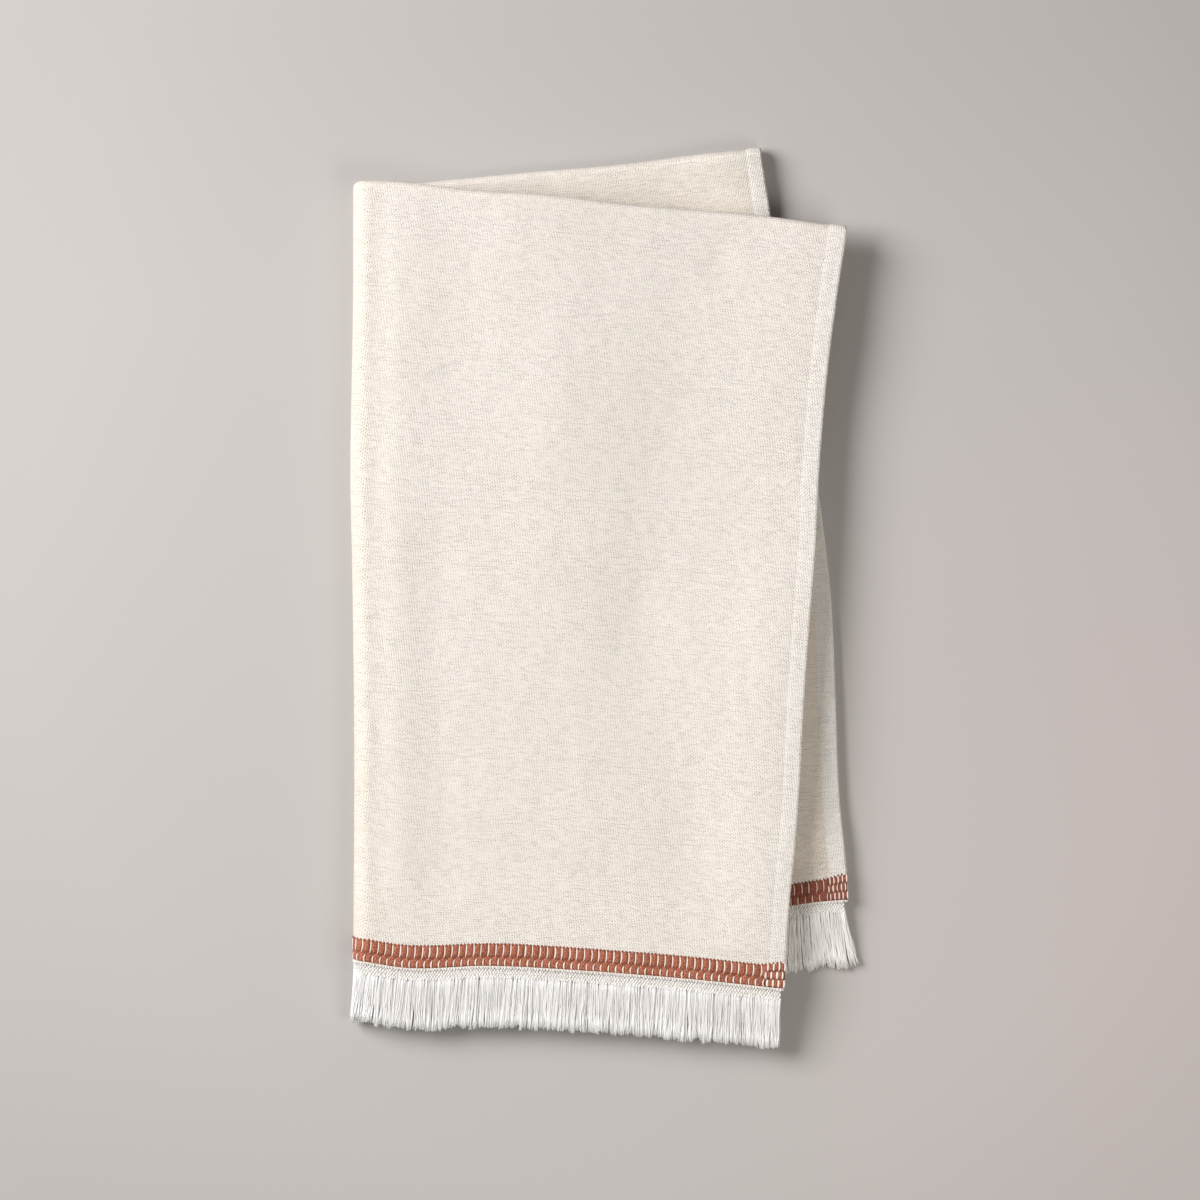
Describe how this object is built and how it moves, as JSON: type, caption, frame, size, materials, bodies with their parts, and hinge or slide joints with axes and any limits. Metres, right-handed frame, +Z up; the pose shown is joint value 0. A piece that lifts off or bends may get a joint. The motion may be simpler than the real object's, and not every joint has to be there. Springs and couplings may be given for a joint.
{
  "type": "hand towel",
  "caption": "Cream woven cotton hand towel folded in four, with a rust two-row border and a white fringe across each end.",
  "frame": {"origin": "middle of the footprint, on the surface it lies on", "axes": "+Z up from the surface, +Y towards the crosswise fold (the top edge), +X towards the side edges, away from the lengthwise fold"},
  "size_m": [0.2268, 0.4012, 0.0199],
  "materials": {
    "cloth": "pebbly off-white cotton weave, matte",
    "border": "rust weft blocks under white warp threads, matte",
    "fringe": "loose white warp yarns, matte"
  },
  "bodies": {
    "root": {"towel": "cloth", "fringe_outer": "fringe", "fringe_inner": "fringe"}
  },
  "joints": []
}
